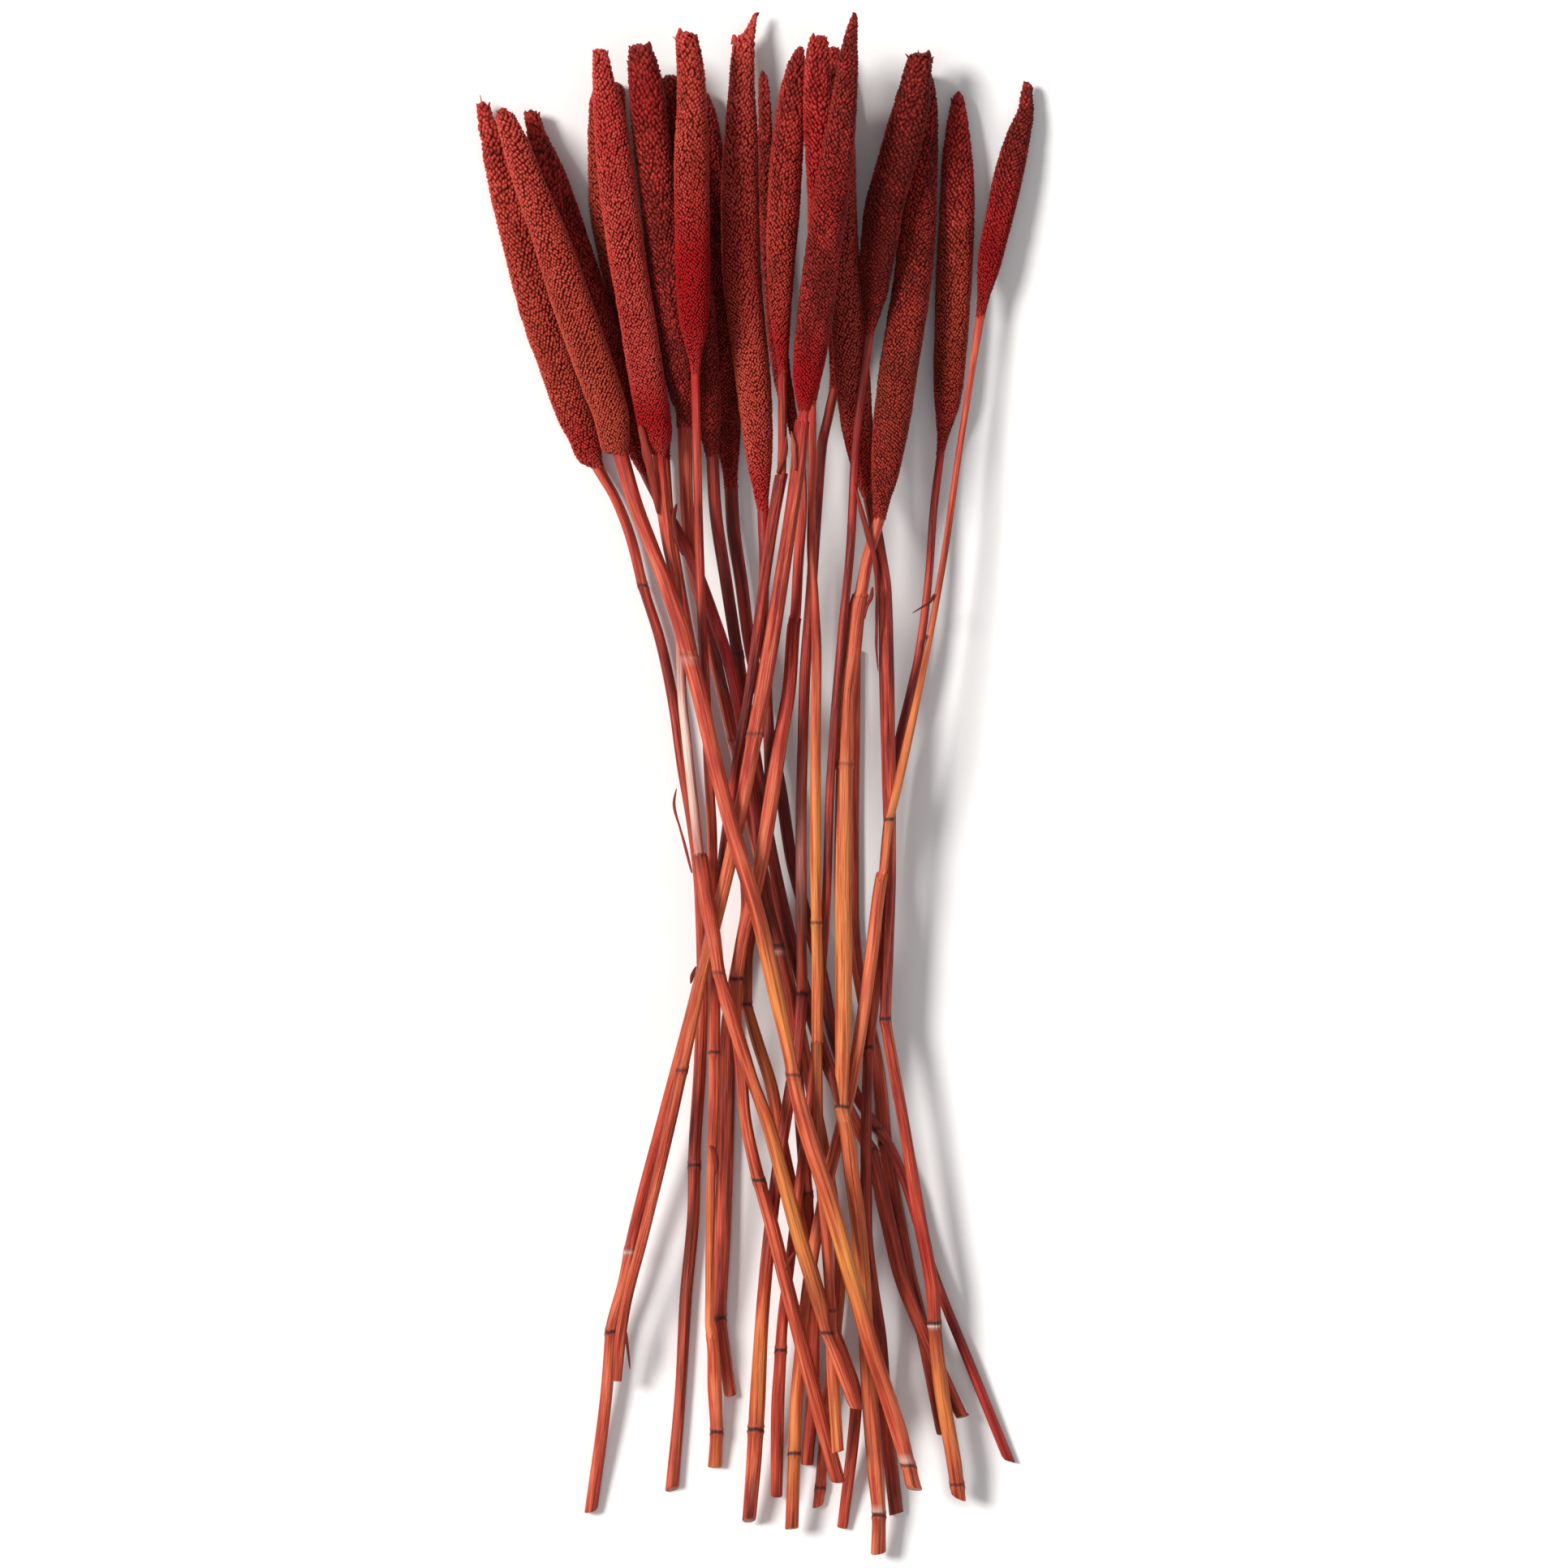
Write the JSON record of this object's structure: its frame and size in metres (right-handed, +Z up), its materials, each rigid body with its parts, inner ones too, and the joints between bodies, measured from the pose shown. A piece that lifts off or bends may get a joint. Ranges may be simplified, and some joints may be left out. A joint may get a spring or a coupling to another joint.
{
  "type": "bunch of dried pearl millet",
  "caption": "Loose bunch of dried, red-dyed millet seed heads on jointed cane-like stalks, narrow in the middle and fanned out at both ends, lying on its side.",
  "frame": {"origin": "on the surface that the bunch lies on, under the middle of its outline", "axes": "+Y towards the tips of the seed heads, -Y towards the cut ends of the stalks, +Z up from the surface"},
  "size_m": [0.259, 0.7156, 0.0722],
  "materials": {
    "seed_head": "small dull husked grains, dyed brick red, darker between the grains",
    "cane": "satin, finely ribbed lengthwise, dyed red to orange",
    "dry_leaf": "matte, curled and torn, dyed dark red"
  },
  "bodies": {
    "root": {"stalk_21": "cane", "head_05": "seed_head", "stalk_05": "cane", "head_09": "seed_head", "stalk_09": "cane", "head_07": "seed_head", "stalk_07": "cane", "head_06": "seed_head", "stalk_06": "cane", "head_01": "seed_head", "stalk_01": "cane", "head_03": "seed_head", "stalk_03": "cane", "head_10": "seed_head", "stalk_10": "cane", "head_14": "seed_head", "stalk_14": "cane", "head_19": "seed_head", "stalk_19": "cane", "head_16": "seed_head", "stalk_16": "cane", "head_20": "seed_head", "stalk_20": "cane", "head_18": "seed_head", "stalk_18": "cane", "head_17": "seed_head", "stalk_17": "cane", "head_11": "seed_head", "stalk_11": "cane", "head_12": "seed_head", "stalk_12": "cane", "head_13": "seed_head", "stalk_13": "cane", "head_08": "seed_head", "stalk_08": "cane", "head_15": "seed_head", "stalk_15": "cane", "head_04": "seed_head", "stalk_04": "cane", "head_02": "seed_head", "stalk_02": "cane", "blade_neck_04": "dry_leaf", "sheath_curl_03": "dry_leaf", "blade_left_01": "dry_leaf", "blade_waist_06": "dry_leaf", "sheath_torn_12": "dry_leaf", "blade_torn_15": "dry_leaf", "blade_cross_16": "dry_leaf", "sheath_curl_18": "dry_leaf", "sheath_curl_19": "dry_leaf", "sheath_nub_19": "dry_leaf", "sheath_nub_01": "dry_leaf", "sheath_side_08": "dry_leaf", "needle_15": "dry_leaf", "awn_04": "dry_leaf", "leaf_cut_07": "dry_leaf"}
  },
  "joints": []
}
